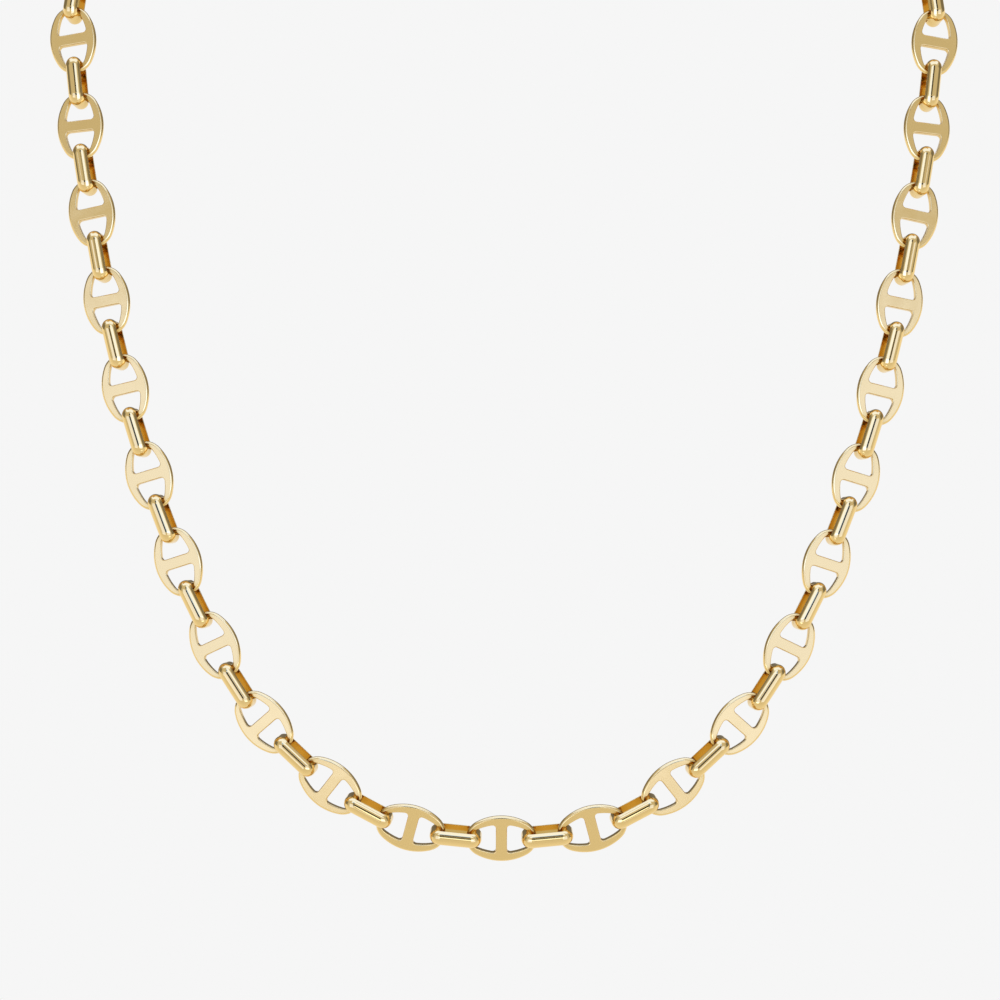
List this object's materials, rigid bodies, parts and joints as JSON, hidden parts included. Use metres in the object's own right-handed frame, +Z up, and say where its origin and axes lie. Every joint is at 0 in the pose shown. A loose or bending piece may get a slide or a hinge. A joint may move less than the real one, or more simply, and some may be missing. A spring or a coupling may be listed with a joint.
{
  "type": "mariner link chain necklace",
  "caption": "Necklace chain of flat oval links with a cross bar, hooked together by loops of half round wire, in the closed form in which it is worn, with a plain box clasp at the nape.",
  "frame": {"origin": "the middle of the clasp's underside, where the chain rests on the nape", "axes": "+X to the wearer's left across the chain, -Y to the front where the bottom of the chain hangs, +Z up"},
  "size_m": [0.1276, 0.0828, 0.1412],
  "materials": {
    "link_metal": "polished gold plating",
    "connector_metal": "mirror polished gold plating",
    "clasp_metal": "polished gold plating"
  },
  "bodies": {
    "root": {"mariner_link_01": "link_metal", "mariner_link_02": "link_metal", "mariner_link_03": "link_metal", "mariner_link_04": "link_metal", "mariner_link_05": "link_metal", "mariner_link_06": "link_metal", "mariner_link_07": "link_metal", "mariner_link_08": "link_metal", "mariner_link_09": "link_metal", "mariner_link_10": "link_metal", "mariner_link_11": "link_metal", "mariner_link_12": "link_metal", "mariner_link_13": "link_metal", "mariner_link_14": "link_metal", "mariner_link_15": "link_metal", "mariner_link_16": "link_metal", "mariner_link_17": "link_metal", "mariner_link_18": "link_metal", "mariner_link_19": "link_metal", "mariner_link_20": "link_metal", "mariner_link_21": "link_metal", "mariner_link_22": "link_metal", "mariner_link_23": "link_metal", "mariner_link_24": "link_metal", "mariner_link_25": "link_metal", "mariner_link_26": "link_metal", "mariner_link_27": "link_metal", "mariner_link_28": "link_metal", "mariner_link_29": "link_metal", "mariner_link_30": "link_metal", "mariner_link_31": "link_metal", "mariner_link_32": "link_metal", "mariner_link_33": "link_metal", "mariner_link_34": "link_metal", "mariner_link_35": "link_metal", "connector_links": "connector_metal", "clasp": "clasp_metal"}
  },
  "joints": []
}
